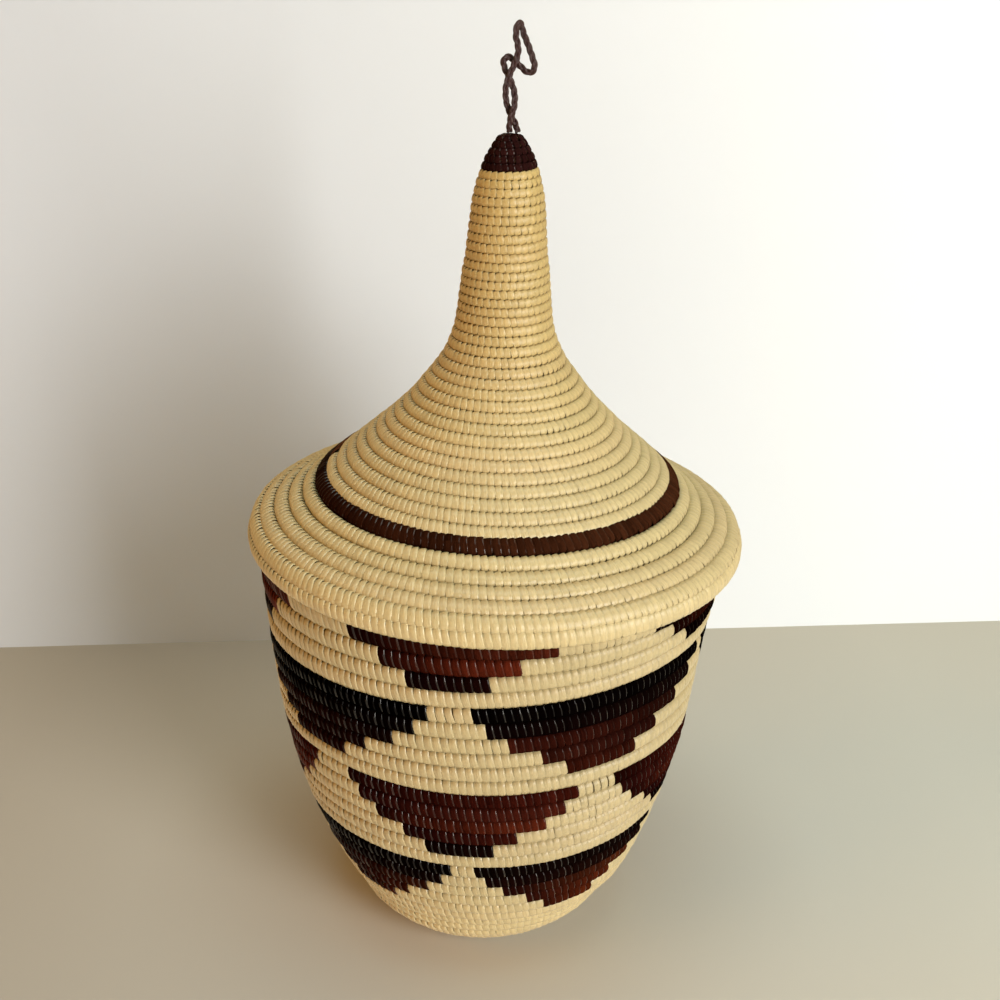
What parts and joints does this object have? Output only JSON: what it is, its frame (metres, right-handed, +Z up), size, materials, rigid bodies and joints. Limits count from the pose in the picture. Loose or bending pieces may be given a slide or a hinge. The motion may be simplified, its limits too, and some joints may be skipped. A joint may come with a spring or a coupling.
{
  "type": "lidded basket",
  "caption": "Coiled and stitched lidded basket: deep rounded body with dyed stepped triangles, flared lid rising in a cone to a tall spire with a hanging loop.",
  "frame": {"origin": "centre of the flat underside that the basket rests on", "axes": "+Z up along the basket's axis and the spire; the front looks along -Y; +X to the viewer's right"},
  "size_m": [0.143, 0.1429, 0.2677],
  "materials": {
    "natural_sisal": "tight sisal wraps, soft sheen",
    "golden_sisal": "tight sisal wraps, soft sheen",
    "black_sisal": "dyed sisal wraps, satin",
    "maroon_sisal": "dyed sisal wraps, satin",
    "dark_cord": "dyed plaited fibre, matt"
  },
  "bodies": {
    "basket": {"basket_coil": "natural_sisal", "neck_collar": "natural_sisal", "upper_triangle_1": "maroon_sisal", "upper_triangle_2": "maroon_sisal", "upper_triangle_3": "maroon_sisal", "upper_triangle_4": "maroon_sisal", "upper_triangle_5": "maroon_sisal", "black_triangle_1": "black_sisal", "black_triangle_2": "black_sisal", "black_triangle_3": "black_sisal", "black_triangle_4": "black_sisal", "black_triangle_5": "black_sisal", "middle_triangle_1": "maroon_sisal", "middle_triangle_2": "maroon_sisal", "middle_triangle_3": "maroon_sisal", "middle_triangle_4": "maroon_sisal", "middle_triangle_5": "maroon_sisal", "lower_triangle_1": "black_sisal", "lower_triangle_2": "black_sisal", "lower_triangle_3": "black_sisal", "lower_triangle_4": "black_sisal", "lower_triangle_5": "black_sisal"},
    "lid": {"lid_coil": "natural_sisal", "lid_dark_ring": "maroon_sisal", "spire_coil": "golden_sisal", "spire_tip_cap": "dark_cord"},
    "loop": {"hanging_loop": "dark_cord"}
  },
  "joints": [
    {"name": "lid_lift", "type": "slide", "parent": "basket", "child": "lid", "axis": [0, 0, 1], "range_m": [0, 0.15]},
    {"name": "loop_tilt", "type": "hinge", "parent": "lid", "child": "loop", "pos_m": [0.0005, 0, 0.2417], "axis": [1, 0, 0], "range_deg": [-50, 50]}
  ]
}
